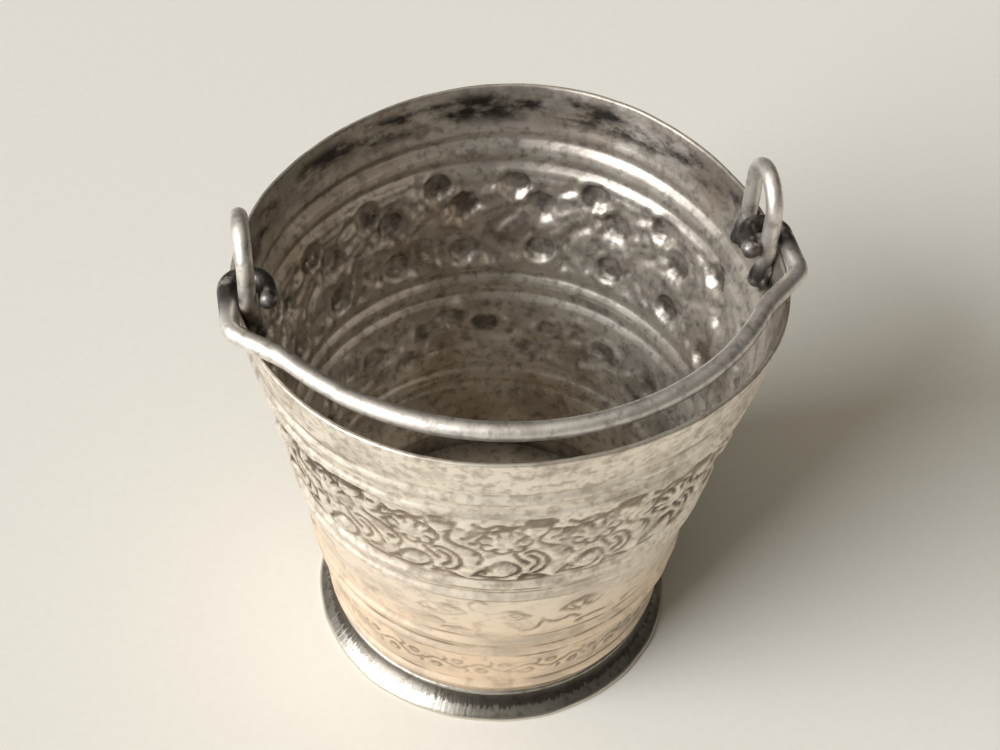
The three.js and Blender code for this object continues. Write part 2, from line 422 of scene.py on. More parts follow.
SECOND_LINES = [
    sweep((-7.8, 1.0), (-6.3, 2.2), (-4.6, 2.0), (-3.0, 0.6)),
    sweep((-7.8, 1.0), (-6.1, 0.5), (-4.4, 0.2), (-3.0, 0.6)),
    sweep((-6.7, 1.4), (-5.9, 1.0)),
    sweep((-5.3, 1.5), (-4.6, 1.0)),
    sweep((-5.2, -1.4), (-3.8, -2.3), (-2.2, -2.0), (-1.2, -0.8)),
    sweep((0.5, 0.8), (2.2, 2.0), (4.3, 1.9), (5.8, 0.7)),
    sweep((0.5, 0.8), (2.4, 0.0), (4.3, -0.1), (5.8, 0.7)),
    sweep((1.7, 1.1), (2.6, 0.7)),
    sweep((3.2, 1.3), (4.2, 0.8)),
    sweep((-1.4, -0.6), (0.2, -1.7), (2.1, -1.4), (3.2, -2.2)),
    sweep((2.8, -3.3), (4.6, -2.9), (6.4, -3.2)),
    sweep((-7.4, -3.6), (-5.6, -3.2), (-4.0, -3.6)),
    arc(7.3, 2.5, 1.0, 30, 250, 10),
]
SECOND_BOSSES = dots((-5.4, 1.2), (3.2, 0.9), (-2.8, -2.6), (7.4, 1.9), half=0.5)

THIRD_LINES = [
    sweep((-2.7, 0.0), (-1.35, 0.8), (0, 0.0), (1.35, -0.8), (2.7, 0.0), steps=6),
    arc(-1.3, -0.75, 0.62, squash=0.75, steps=12),
    arc(1.45, 0.85, 0.6, squash=0.7, steps=12),
    sweep((-0.5, 0.4), (0.1, 1.0), (-0.1, 1.5)),
    sweep((2.1, -0.5), (2.5, -1.1), (2.2, -1.5)),
]
THIRD_BOSSES = dots((-1.3, -0.75), (1.45, 0.85))

# Each layer of the chasing: its band, kind and drawing, half the widths of its flat and of its whole and how
# far it is pushed out, in millimetres, how much of that is left where it is worn, and how much shows inside
LAYERS = (
    ("main", "line", MAIN_LINES, 0.13, 0.5, -0.22, 0.65, 0.7),
    ("main", "line", MAIN_PUNCHES, 0.15, 0.6, -0.22, 0.7, 0.7),
    ("main", "boss", MAIN_BOSSES, 0.75, 1.7, 0.46, 0.85, 1.6),
    ("main", "swell", MAIN_BEADS, 0.3, 0.85, 0.15, 0.8, 1.0),
    ("main", "swell", MAIN_STEMS, 0.1, 0.9, 0.13, 0.8, 1.6),
    ("second", "line", SECOND_LINES, 0.08, 0.5, -0.15, 0.2, 2.4),
    ("second", "boss", SECOND_BOSSES, 0.4, 1.6, 0.34, 0.2, 1.1),
    ("third", "line", THIRD_LINES, 0.08, 0.42, -0.13, 0.6, 0.7),
    ("third", "swell", THIRD_BOSSES, 0.1, 0.7, 0.14, 0.5, 0.8),
)
# The depth at which a line is fully dark, and how much wider bosses and lines are on the inside of the sheet
DEEPEST_LINE = 0.3 * MM
BOSS_SPREAD = 0.35 * MM
LINE_SPREAD = 0.2 * MM
# Repeats beyond those that go round, so that the ends of the unrolled band meet
SPARE_REPEATS = 3
# How deep in the sheet's thickness the inside's finish starts
LINING_SHARE = 0.7

# The hand: how far each repeat is turned either way, its least and largest size, how far a line wanders, and
# how often it does so in a metre
REPEAT_TURN = 0.08
REPEAT_SHARES = (0.93, 1.05)
WANDER = 0.9 * MM
WANDERS_PER_METRE = 330.0

# Rubbing: its clouds in a metre, where in them it ends and starts, and what it leaves of the ribs' lines
RUBBING_PER_METRE = 62.0
RUBBED_AWAY = 0.44
UNRUBBED = 0.6
RIB_LINE_SHARES = (0.15, 0.65)

# The marks of the two hammers: how many there are in a metre, and their height
HAMMER_MARKS = {"Hammering": (190.0, 0.2 * MM), "Planishing": (620.0, 0.05 * MM)}


def drawing(name, lines):
    """A mesh of edges that the chasing measures its distance from."""
    points, edges = [], []
    for line in lines:
        first = len(points)
        points += [(x * MM, y * MM, 0) for x, y in line]
        edges += [(i, i + 1) for i in range(first, len(points) - 1)]
    mesh = bpy.data.meshes.new(name)
    mesh.from_pydata(points, edges, [])
    return new_object(name, mesh)


def turned(name, outline, columns, push=lambda angle, radius, height: 0):
    """Turns an outline of radius and height round the pail's axis. A radius of 0 closes it at a pole."""
    points, rows, faces = [], [], []
    for radius, height in outline:
        steps = columns if radius > 0 else 1
        rows.append(range(len(points), len(points) + steps))
        for i in range(steps):
            angle = 2 * math.pi * i / columns
            r = radius + push(angle, radius, height) if radius > 0 else 0
            points.append((r * math.cos(angle), r * math.sin(angle), height))
    pairs = list(zip(rows, rows[1:]))
    if outline[0][0] > 0:
        pairs.append((rows[-1], rows[0]))
    for low, high in pairs:
        for i in range(columns):
            k = i + 1
            corners = (low[i % len(low)], low[k % len(low)], high[k % len(high)], high[i % len(high)])
            faces.append(tuple(dict.fromkeys(corners)))
    mesh = bpy.data.meshes.new(name)
    mesh.from_pydata(points, [], faces)
    mesh.polygons.foreach_set("use_smooth", [True] * len(faces))
    return new_object(name, mesh)


# Wall


def cone_radius(height):
    """The wall's outside without its ribs: a cone, a little hollow halfway up."""
    share = (height - WALL_FOOT) / (RIM_HEIGHT - WALL_FOOT)
    straight = WALL_FOOT_RADIUS + (RIM_RADIUS - WALL_FOOT_RADIUS) * share
    return straight - 4 * WALL_HOLLOW * share * (1 - share)


def beside_rib(height):
    """How strongly the line chased along a rib's foot shows at a height."""
    off = min(abs(height - rib) for rib in RIB_HEIGHTS) / (RIB_WIDTH / 2)
    if not LINE_START_SHARE < off < LINE_END_SHARE:
        return 0.0
    return math.sin(math.pi * (off - LINE_START_SHARE) / (LINE_END_SHARE - LINE_START_SHARE)) ** 2


def ribbed_radius(height):
    """The cone with its ribs, each between two shallow chased lines."""
    radius = cone_radius(height) - RIB_LINE * beside_rib(height)
    for rib in RIB_HEIGHTS:
        off = abs(height - rib) / (RIB_WIDTH / 2)
        if off < 1:
            radius += RIB_RISE * (1 + math.cos(math.pi * off)) / 2
    return radius


def out_of_round(angle, height):
    """How far the wall stands out at an angle. It grows towards the rim, and is least at the ears."""
    share = (height - WALL_FOOT) / (RIM_HEIGHT - WALL_FOOT)
    push = sum(size * math.cos(count * (angle - math.radians(top))) for count, size, top in RIM_LOBES)
    clear = min(1, abs(math.sin(angle)) / HELD_REACH_SHARE)
    free = clear * clear * (3 - 2 * clear)
    return push * share**2 * (HELD_SHARE + (1 - HELD_SHARE) * free)


def row_step(height, side):
    """The distance to the next row of points, outside (0) or inside (1)."""
    if min(abs(height - rib) for rib in RIB_HEIGHTS) < RIB_REACH_SHARE * RIB_WIDTH:
        return RIB_STEPS[side]
    for name, (low, high) in BANDS.items():
        if low <= height < high:
            return BAND_STEPS[name][side]
    return PLAIN_STEP


def row_heights(low, high, side):
    """Heights of the rows. One lies close beside the join, so that both halves are shaded as one wall."""
    heights = [low, low + BESIDE_JOIN] if low == WALL_JOIN else [low]
    ends = [high - BESIDE_JOIN, high] if high == WALL_JOIN else [high]
    while heights[-1] + row_step(heights[-1], side) * LAST_STEP_SHARE < ends[0]:
        heights.append(heights[-1] + row_step(heights[-1], side))
    return heights + ends


def plain_wall(name, low, high):
    """The ribbed wall between two heights before it is chased: one closed ring of sheet."""
    rounded = high > RIM_HEIGHT - SHEET
    top = RIM_HEIGHT - SHEET / 2 if rounded else high
    rows = [(height, height, 0.0) for height in row_heights(low, top, 0)]
    for i in range(1, EDGE_STEPS if rounded else 0):
        angle = math.pi * i / EDGE_STEPS
        rows.append((top, top + SHEET / 2 * math.sin(angle), (1 - math.cos(angle)) / 2))
    rows += [(height, height, 1.0) for height in reversed(row_heights(low, top, 1))]
    outline = [(ribbed_radius(level) - depth * SHEET, height) for level, height, depth in rows]
    wall = turned(name, outline, WALL_COLUMNS, lambda angle, radius, height: out_of_round(angle, height))
    inside = [depth for level, height, depth in rows for column in range(WALL_COLUMNS)]
    ribs = [beside_rib(level) for level, height, depth in rows for column in range(WALL_COLUMNS)]
    wall.data.attributes.new("inside", "FLOAT", "POINT").data.foreach_set("value", inside)
    wall.data.attributes.new("beside_rib", "FLOAT", "POINT").data.foreach_set("value", ribs)
    # A strip from the outside straight to the inside at one height is a cut edge, and stays flat
    smooth = []
    for (level, _, depth), (next_level, _, next_depth) in zip(rows, rows[1:] + rows[:1]):
        cut = level == next_level and depth + next_depth == 1
        smooth += [not cut] * WALL_COLUMNS
    wall.data.polygons.foreach_set("use_smooth", smooth)
    return wall


def layer_group():
    """A node group that repeats a drawing round the pail and says how near each point is to it."""
    inputs = {"Drawing": "Object", "Count": "Int", "Seed": "Int"}
    inputs.update({name: "Float" for name in ("First", "Length", "Height", "Plateau", "Reach")})
    tree, given = open_tree("chased layer", inputs, {"Amount": "Float"})
    count = given["Count"]
    pitch = add(tree, "ShaderNodeMath", {0: given["Length"], 1: count}, operation="DIVIDE")
    more = add(tree, "ShaderNodeMath", {0: count, 1: SPARE_REPEATS}, operation="ADD")
    first = add(tree, "ShaderNodeMath", {0: pitch, 1: given["First"]}, operation="MULTIPLY")
    start = add(tree, "ShaderNodeCombineXYZ", {"X": first, "Y": given["Height"]})
    step = add(tree, "ShaderNodeCombineXYZ", {"X": pitch})
    places = add(tree, "GeometryNodeMeshLine", {"Count": more, "Start Location": start, "Offset": step})
    index = add(tree, "GeometryNodeInputIndex")
    unit = add(tree, "ShaderNodeMath", {0: index, 1: count}, operation="FLOORED_MODULO")
    turned_by = {2: -REPEAT_TURN, 3: REPEAT_TURN, "ID": unit, "Seed": given["Seed"]}
    spin = add(tree, "FunctionNodeRandomValue", turned_by, data_type="FLOAT", out=1)
    sized = {2: REPEAT_SHARES[0], 3: REPEAT_SHARES[1], "ID": unit, "Seed": given["Seed"]}
    size = add(tree, "FunctionNodeRandomValue", sized, data_type="FLOAT", out=1)
    turn = add(tree, "ShaderNodeCombineXYZ", {"Z": spin})
    drawn = add(tree, "GeometryNodeObjectInfo", {"Object": given["Drawing"]}, out="Geometry")
    copies = {"Points": places, "Instance": drawn, "Rotation": turn, "Scale": size}
    repeated = add(tree, "GeometryNodeInstanceOnPoints", copies)
    lines = add(tree, "GeometryNodeRealizeInstances", {"Geometry": repeated})
    here = add(tree, "GeometryNodeInputPosition")
    x, y, z = add(tree, "ShaderNodeSeparateXYZ", {0: here}, out=slice(3))
    angle = add(tree, "ShaderNodeMath", {0: y, 1: x}, operation="ARCTAN2")
    share = add(tree, "ShaderNodeMapRange", {"Value": angle, "From Min": -math.pi, "From Max": math.pi})
    along = add(tree, "ShaderNodeMath", {0: share, 1: given["Length"]}, operation="MULTIPLY")
    flat = add(tree, "ShaderNodeCombineXYZ", {"X": along, "Y": z})
    wobble = {"Vector": here, "Scale": WANDERS_PER_METRE, "Detail": 2.0}
    wobble = add(tree, "ShaderNodeTexNoise", wobble, out="Color")
    centred = add(tree, "ShaderNodeVectorMath", {0: wobble, 1: (0.5, 0.5, 0.5)}, operation="SUBTRACT")
    wander = add(tree, "ShaderNodeVectorMath", {0: centred, 1: (WANDER, WANDER, 0)}, operation="MULTIPLY")
    sampled = add(tree, "ShaderNodeVectorMath", {0: flat, 1: wander}, operation="ADD")
    drawn_near = {0: lines, "Sample Position": sampled}
    away = add(tree, "GeometryNodeProximity", drawn_near, out="Distance", target_element="EDGES")
    fall = {"Value": away, "From Min": given["Plateau"], "From Max": given["Reach"]}
    fall.update({"To Min": 1.0, "To Max": 0.0})
    amount = add(tree, "ShaderNodeMapRange", fall, interpolation_type="SMOOTHSTEP")
    add(tree, "NodeGroupOutput", {"Amount": amount})
    return tree


def rubbed_clouds(tree, here):
    """Clouds over the wall: 0 where hands have rubbed it away, and 1 where its drawing is still crisp."""
    clouds = add(tree, "ShaderNodeTexNoise", {"Vector": here, "Scale": RUBBING_PER_METRE, "Detail": 2.0})
    edged = {"Value": clouds, "From Min": RUBBED_AWAY, "From Max": UNRUBBED}
    return add(tree, "ShaderNodeMapRange", edged, interpolation_type="SMOOTHSTEP")


def layer_strength(tree, group, layer, within, crisp):
    """How strongly a layer shows at each point: wider inside, and fainter where the outside is rubbed."""
    inputs = {key: layer[key] for key in ("Drawing", "Count", "First", "Length", "Height", "Seed")}
    spread = BOSS_SPREAD if layer["kind"] == "boss" else LINE_SPREAD
    for key in ("Plateau", "Reach"):
        half = {0: within, 1: spread, 2: layer[key]}
        inputs[key] = add(tree, "ShaderNodeMath", half, operation="MULTIPLY_ADD")
    near = add(tree, "GeometryNodeGroup", inputs, node_tree=group)
    left = add(tree, "ShaderNodeMapRange", {"Value": crisp, "To Min": layer["worn"], "To Max": 1.0})
    kept = add(tree, "ShaderNodeMapRange", {"Value": within, "To Min": left, "To Max": layer["within"]})
    return add(tree, "ShaderNodeMath", {0: near, 1: kept}, operation="MULTIPLY")


def hammered(tree, given, here, depth):
    """A depth with the marks of both hammers added."""
    for name, (per_metre, _) in HAMMER_MARKS.items():
        dents = add(tree, "ShaderNodeTexNoise", {"Vector": here, "Scale": per_metre, "Detail": 1.0})
        level = add(tree, "ShaderNodeMath", {0: dents, 1: 0.5}, operation="SUBTRACT")
        depth = add(tree, "ShaderNodeMath", {0: level, 1: given[name], 2: depth}, operation="MULTIPLY_ADD")
    return depth


def chasing_tree(layers, outside, inside):
    """Pushes the sheet in along the lines and out at the bosses, so that the inside shows the reverse."""
    inputs = {"Wall": "Geometry", **{name: "Float" for name in HAMMER_MARKS}}
    tree, given = open_tree("chasing", inputs, {"Wall": "Geometry"})
    group = layer_group()
    within = add(tree, "GeometryNodeInputNamedAttribute", {"Name": "inside"}, data_type="FLOAT")
    ribs = add(tree, "GeometryNodeInputNamedAttribute", {"Name": "beside_rib"}, data_type="FLOAT")
    here = add(tree, "GeometryNodeInputPosition")
    crisp = rubbed_clouds(tree, here)
    rib_line = {"Value": crisp, "To Min": RIB_LINE_SHARES[0], "To Max": RIB_LINE_SHARES[1]}
    rib_line = add(tree, "ShaderNodeMapRange", rib_line)
    lines = add(tree, "ShaderNodeMath", {0: ribs, 1: rib_line}, operation="MULTIPLY")
    depth, crowns = 0.0, 0.0
    for layer in layers:
        shown = layer_strength(tree, group, layer, within, crisp)
        push = {0: shown, 1: layer["push"], 2: depth}
        depth = add(tree, "ShaderNodeMath", push, operation="MULTIPLY_ADD")
        if layer["kind"] == "line":
            dark = {0: shown, 1: min(1, -layer["push"] / DEEPEST_LINE)}
            dark = add(tree, "ShaderNodeMath", dark, operation="MULTIPLY")
            lines = add(tree, "ShaderNodeMath", {0: lines, 1: dark}, operation="MAXIMUM")
        elif layer["kind"] == "boss":
            crowns = add(tree, "ShaderNodeMath", {0: crowns, 1: shown}, operation="MAXIMUM")
    depth = hammered(tree, given, here, depth)
    flat = add(tree, "ShaderNodeVectorMath", {0: here, 1: (1, 1, 0)}, operation="MULTIPLY")
    outward = add(tree, "ShaderNodeVectorMath", {0: flat}, operation="NORMALIZE")
    offset = add(tree, "ShaderNodeVectorMath", {0: outward, "Scale": depth}, operation="SCALE")
    shape = given["Wall"]
    for name, value in (("chased", lines), ("crown", crowns)):
        kept = {"Geometry": shape, "Name": name, "Value": value}
        shape = add(tree, "GeometryNodeStoreNamedAttribute", kept, data_type="FLOAT", domain="POINT")
    moved = add(tree, "GeometryNodeSetPosition", {"Geometry": shape, "Offset": offset})
    real = add(tree, "GeometryNodeRealizeInstances", {"Geometry": moved})
    dressed = add(tree, "GeometryNodeSetMaterial", {"Geometry": real, "Material": outside})
    inner = add(tree, "FunctionNodeCompare", {0: within, 1: LINING_SHARE}, operation="GREATER_THAN")
    lining = {"Geometry": dressed, "Selection": inner, "Material": inside}
    lined = add(tree, "GeometryNodeSetMaterial", lining)
    add(tree, "NodeGroupOutput", {0: lined})
    return tree


def chase_wall(outside, inside):
    """The two halves of the wall, which meet in the valley between two ribs."""
    layers = []
    for number, (band, kind, lines, plateau, reach, push, worn, within) in enumerate(LAYERS):
        middle = sum(BANDS[band]) / 2
        count, bearing = REPEATS[band]
        layer = {"Drawing": drawing(f"{band}_drawing_{number}", lines), "Count": count, "Seed": count}
        layer.update({"Length": 2 * math.pi * cone_radius(middle), "Height": middle})
        # The unrolled band starts at the left ear, half a turn before bearing 0, and a repeat lies before it
        layer["First"] = (bearing / math.tau + 0.5) * count % 1 - 1
        layer.update({"Plateau": plateau * MM, "Reach": reach * MM, "push": push * MM})
        layer.update({"kind": kind, "worn": worn, "within": within})
        layers.append(layer)
    tree = chasing_tree(layers, outside, inside)
    lower = plain_wall("wall_lower", WALL_FOOT, WALL_JOIN)
    upper = plain_wall("wall_upper", WALL_JOIN, RIM_HEIGHT)
    for half in (lower, upper):
        run_nodes(half, tree, {name: height for name, (_, height) in HAMMER_MARKS.items()})
    for layer in layers:
        bpy.data.objects.remove(layer["Drawing"])
    return lower, upper


# Foot and floor


def flare_radius(height):
    """The foot's outside, flared and a little hollow."""
    share = min(1, (FOOT_TOP - height) / (FOOT_TOP - FOOT_EDGE))
    return FOOT_NECK + (FOOT_RADIUS - FOOT_NECK) * share - 4 * FOOT_HOLLOW * share * (1 - share)


def foot_wave(angle, radius, height):
    """A small hand-made waviness that closes on itself round the foot, and grows towards its edge."""
    share = max(0, (radius - FOOT_NECK) / (FOOT_RADIUS - FOOT_NECK))
    waves = [part * math.sin(count * angle + start) for count, part, start in FOOT_WAVES]
    return FOOT_WAVE * share**2 * sum(waves)


def turn_foot():
    """A flared ring with a rounded outer edge, a little uneven round the pail."""
    drop = FOOT_TOP - FOOT_EDGE
    sheet = FOOT_SHEET * math.hypot(FOOT_RADIUS - FOOT_NECK, drop) / drop
    under_seat = FOOT_TOP - FOOT_SHEET
    seat = FOOT_NECK - FOOT_FLANGE
    shares = [i / FLARE_STEPS for i in range(FLARE_STEPS + 1)]
    heights = [FOOT_EDGE + drop * share for share in shares[1:]]
    outside = [(flare_radius(height), height) for height in heights]
    inside = [(flare_radius(under_seat * share) - sheet, under_seat * share) for share in reversed(shares)]
    lower = FOOT_EASE * LOWER_CORNER_SHARE
    back, down = (FOOT_EASE * share for share in UPPER_CORNER_SHARES)
    edge = [
        (FOOT_RADIUS - FOOT_EASE, 0),
        (FOOT_RADIUS - lower, lower),
        (FOOT_RADIUS, FOOT_EASE),
        (FOOT_RADIUS, FOOT_EDGE - FOOT_EASE),
        (FOOT_RADIUS - back, FOOT_EDGE - down),
    ]
    shape = [*edge, *outside, (seat, FOOT_TOP), (seat, under_seat), *inside]
    return turned("foot_ring_filed", shape, FOOT_COLUMNS, foot_wave)


def floor_height(radius):
    """The floor's upper side, dished by the hammer in shallow rings."""
    dished = 1 - (radius / WALL_FOOT_RADIUS) ** 2
    return FLOOR_HIGH.z - FLOOR_DISH * dished * (1 + math.sin(radius * FLOOR_RIPPLES))


def turn_floor():
    """The floor plate, dished a little inside, with its round edge showing under the wall."""
    half = (FLOOR_HIGH.z - FLOOR_LOW.z) / 2
    middle = (FLOOR_HIGH.z + FLOOR_LOW.z) / 2
    shape = [(0, FLOOR_LOW.z), (FOOT_NECK, FLOOR_LOW.z)]
    for i in range(FLOOR_EDGE_STEPS + 1):
        angle = math.pi * (i / FLOOR_EDGE_STEPS - 0.5)
        shape.append((FLOOR_RADIUS - half + half * math.cos(angle), middle + half * math.sin(angle)))
    rings = [WALL_FOOT_RADIUS * share for share in FLOOR_RING_SHARES]
    shape += [(radius, floor_height(radius)) for radius in rings]
    return turned("floor_plate_hammered", shape, FLOOR_COLUMNS)


# Ears and bail


def wire_tree():
    """A wire along a path, uneven as hand-drawn wire is, with its ends rounded by the path's own shares."""
    inputs = {"Path": "Geometry", "Silver": "Material", "Sides": "Int"}
    inputs.update({"Thickness": "Float", "Unevenness": "Float"})
    tree, given = open_tree("drawn wire", inputs, {"Wire": "Geometry"})
    path = add(tree, "GeometryNodeMeshToCurve", {0: given["Path"]})
    share = add(tree, "GeometryNodeInputNamedAttribute", {"Name": "thick"}, data_type="FLOAT")
    here = add(tree, "GeometryNodeInputPosition")
    noise = add(tree, "ShaderNodeTexNoise", {"Vector": here, "Scale": UNEVEN_PER_METRE, "Detail": 1.0})
    level = add(tree, "ShaderNodeMath", {0: noise, 1: 0.5}, operation="SUBTRACT")
    swell = {0: level, 1: given["Unevenness"], 2: 1.0}
    swell = add(tree, "ShaderNodeMath", swell, operation="MULTIPLY_ADD")
    half = add(tree, "ShaderNodeMath", {0: given["Thickness"], 1: 0.5}, operation="MULTIPLY")
    thick = add(tree, "ShaderNodeMath", {0: share, 1: swell}, operation="MULTIPLY")
    radius = add(tree, "ShaderNodeMath", {0: half, 1: thick}, operation="MULTIPLY")
    section = add(tree, "GeometryNodeCurvePrimitiveCircle", {"Resolution": given["Sides"], "Radius": 1.0})
    swept = {"Curve": path, "Profile Curve": section, "Scale": radius, "Fill Caps": True}
    wire = add(tree, "GeometryNodeCurveToMesh", swept)
    smooth = add(tree, "GeometryNodeSetShadeSmooth", {0: wire})
    real = add(tree, "GeometryNodeRealizeInstances", {"Geometry": smooth})
    dressed = add(tree, "GeometryNodeSetMaterial", {"Geometry": real, "Material": given["Silver"]})
    add(tree, "NodeGroupOutput", {0: dressed})
    return tree


def evenly(points, step):
    """Points at an even step along a line of points."""
    lengths = [0.0]
    for a, b in zip(points, points[1:]):
        lengths.append(lengths[-1] + (b - a).length)
    count = max(2, round(lengths[-1] / step))
    made, k = [], 0
    for i in range(count + 1):
        at = lengths[-1] * i / count
        while k < len(points) - 2 and lengths[k + 1] < at:
            k += 1
        span = lengths[k + 1] - lengths[k]
        made.append(points[k].lerp(points[k + 1], (at - lengths[k]) / span if span else 0))
    return made


def draw_wire(name, points, thickness, tree, material):
    """Sweeps the wire along points, rounding both of its ends."""
    thick = []
    for point in points:
        from_end = min((point - points[0]).length, (point - points[-1]).length)
        short = 1 - min(1, from_end / (ROUNDED_SHARE * thickness / 2))
        thick.append(math.sqrt(max(TIP_SHARE, 1 - short * short)))
    mesh = bpy.data.meshes.new(name)
    mesh.from_pydata([tuple(p) for p in points], [(i, i + 1) for i in range(len(points) - 1)], [])
    mesh.attributes.new("thick", "FLOAT", "POINT").data.foreach_set("value", thick)
    inputs = {"Thickness": thickness, "Sides": WIRE_SIDES, "Unevenness": UNEVEN_SHARE, "Silver": material}
    return run_nodes(new_object(name, mesh), tree, inputs)


def leg_inset(height):
    """How far out an ear's leg lies at a height, inside the sloping wall."""
    reach = cone_radius(height) - SHEET - EAR_GAP - EAR_WIRE / 2
    return math.sqrt(reach**2 - (EAR_SPAN / 2) ** 2)


EAR_PLANE = leg_inset(RIM_HEIGHT)


def ear_points(side):
    """One leg, the loop and the other leg. The legs follow the slope of the wall."""
    half = EAR_SPAN / 2
    foot = RIM_HEIGHT - EAR_TAIL
    spring = RIM_HEIGHT + EAR_RISE - half
    leg = [foot + (spring - foot) * i / LEG_STEPS for i in range(LEG_STEPS)]
    turns = [math.pi * i / LOOP_STEPS for i in range(LOOP_STEPS + 1)]
    outline = [(-half, z) for z in leg]
    outline += [(-half * math.cos(a), spring + half * math.sin(a)) for a in turns]
    outline += [(half, z) for z in reversed(leg)]
    points = [Vector((side * leg_inset(min(z, RIM_HEIGHT)), side * y, z)) for y, z in outline]
    return evenly(points, EAR_STEP)


def solder(mesh, at, size, turn):
    """A soft mound of solder, flattened on the wall and run out a little to one side."""
    flow = Matrix.Translation(at) @ Matrix.Rotation(turn, 4, "Z") @ Matrix.Diagonal((*size, 1))
    bmesh.ops.create_icosphere(mesh, subdivisions=3, radius=1, matrix=flow)


def make_ear(name, side, tree, material):
    """A wire loop melted at both feet into mounds of solder on the inside of the wall."""
    ear = draw_wire(name, ear_points(side), EAR_WIRE * EAR_SWELL_SHARE, tree, material)
    melted = bmesh.new()
    melted.from_mesh(ear.data)
    for leg in (-1, 1):
        for above, wide, tall in SOLDER_MOUNDS:
            z = RIM_HEIGHT - EAR_TAIL + above
            y = leg * EAR_SPAN / 2
            turn = math.atan2(y, side * cone_radius(z))
            inner = cone_radius(z) - SHEET + out_of_round(turn, z)
            reach = math.sqrt(inner * inner - y * y)
            solder(melted, (side * (reach - SOLDER_INSET), y, z), (SOLDER_DEPTH, wide, tall), turn)
    melted.to_mesh(ear.data)
    melted.free()
    remesh = ear.modifiers.new("melt", "REMESH")
    remesh.mode = "VOXEL"
    remesh.voxel_size = MELT_GRAIN
    remesh.use_smooth_shade = True
    easing = ear.modifiers.new("flow", "SMOOTH")
    easing.iterations = 2
    bake(ear)
    ear.data.materials.clear()
    ear.data.materials.append(material)
    return ear


def eased(a, b, c, d, steps=20):
    """A cubic curve between a and d, led by b and c."""
    made = []
    for i in range(1, steps):
        t = i / steps
        weights = ((1 - t) ** 3, 3 * t * (1 - t) ** 2, 3 * t * t * (1 - t), t**3)
        made.append(tuple(sum(w * p[k] for w, p in zip(weights, (a, b, c, d))) for k in (0, 1)))
    return made


def bail_points():
    """The whole bail, flat above the rim: a hook, the bow and the other hook."""
    far = RIM_HEIGHT + EAR_RISE - BAIL_AXIS
    throat = (EAR_PLANE + HOOK_BEND * math.cos(HOOK_TURN), far + HOOK_BEND * math.sin(HOOK_TURN))
    centre = BAIL_REACH - BOW_RADIUS
    shoulder = (BOW_RADIUS * math.cos(BOW_TURN), centre + BOW_RADIUS * math.sin(BOW_TURN))
    ease = math.dist(throat, shoulder) / 3
    led = (throat[0] - ease * math.sin(HOOK_TURN), throat[1] + ease * math.cos(HOOK_TURN))
    left = (shoulder[0] + ease * math.sin(BOW_TURN), shoulder[1] - ease * math.cos(BOW_TURN))
    half = ring_part(0, centre, BOW_RADIUS, math.pi / 2, BOW_TURN, 90)
    half += eased(shoulder, left, led, throat)
    half += ring_part(EAR_PLANE, far, HOOK_BEND, HOOK_TURN, 0)
    half += ring_part(EAR_PLANE, HOOK_BEND, HOOK_BEND, 0, -math.pi, 40)
    half.append((EAR_PLANE - HOOK_BEND, HOOK_TIP))
    flat = [(-x, y) for x, y in half[:0:-1]] + half
    return evenly([Vector((x, -y, BAIL_AXIS)) for x, y in flat], BAIL_STEP)


# Finishes

# Pits in the silver, fibres in the card, how far patches are drawn out along the bands, how close the foot's
# file marks are, and how ragged the edge of its dark neck is, which is soot and painted shade
PIT_ACROSS = 0.6 * MM
PIT_DEPTH = 0.05 * MM
FELT_ACROSS = 1.1 * MM
BAND_STRETCH = 2.2
FILE_MARKS = 46.0
DARK_NECK_RAGGED = 1.6 * MM

# Where the wires are clean and where they are black with soot and painted shade: heights on the ears, places
# along the bail's y
EAR_SOOT_AND_SHADE = (57.5 * MM, 54 * MM)
BAIL_SOOT_AND_SHADE = (-7.5 * MM, -3.5 * MM)


def new_material(name):
    """An empty material, its node tree, and the places of its surface."""
    material = bpy.data.materials.new(name)
    material.use_nodes = True
    material.node_tree.nodes.clear()
    tree = material.node_tree
    return material, tree, add(tree, "ShaderNodeTexCoord", out="Object")


def patches(tree, where, across, low, high, most=1.0, detail=5.0):
    """Soft-edged patches about a length across, 0 where the noise is low and their most where it is high."""
    cloud = {"Vector": where, "Scale": 1 / across, "Detail": detail, "Roughness": 0.62}
    cloud = add(tree, "ShaderNodeTexNoise", cloud)
    edged = {"Value": cloud, "From Min": low, "From Max": high, "To Max": most}
    return add(tree, "ShaderNodeMapRange", edged, interpolation_type="SMOOTHSTEP")


def between(tree, value, low, high, most=1.0):
    """0 where a value is at or past low, and its most at or past high. low may be the larger."""
    ramp = {"Value": value, "From Min": low, "From Max": high, "To Max": most}
    return add(tree, "ShaderNodeMapRange", ramp, interpolation_type="SMOOTHSTEP")


def stained(tree, clean, *stains):
    """A clean colour under stains laid one over another, each a mask and a colour."""
    colour = hex_colour(clean)
    for mask, stain in stains:
        mixed = {"Factor": mask, 6: colour, 7: hex_colour(stain)}
        colour = add(tree, "ShaderNodeMix", mixed, data_type="RGBA", out=2)
    return colour


def both(tree, first, second):
    """Where two masks hold at once."""
    return add(tree, "ShaderNodeMath", {0: first, 1: second}, operation="MULTIPLY")


def silver(material, colour, roughness, normal, film):
    """A metal whose colour is its reflection, and over part of it a film of tarnish that scatters light."""
    inputs = {"Base Color": colour, "Metallic": 1 - film, "Roughness": roughness, "Normal": normal}
    shader = add(material.node_tree, "ShaderNodeBsdfPrincipled", inputs)
    add(material.node_tree, "ShaderNodeOutputMaterial", {"Surface": shader})
    return material


def fine_wear(tree, where, strength):
    """Pits and rubbing too fine for the mesh: they break up the reflections' edges."""
    fine = add(tree, "ShaderNodeTexNoise", {"Vector": where, "Scale": 1 / PIT_ACROSS, "Detail": 3.0})
    return add(tree, "ShaderNodeBump", {"Height": fine, "Strength": strength, "Distance": PIT_DEPTH})


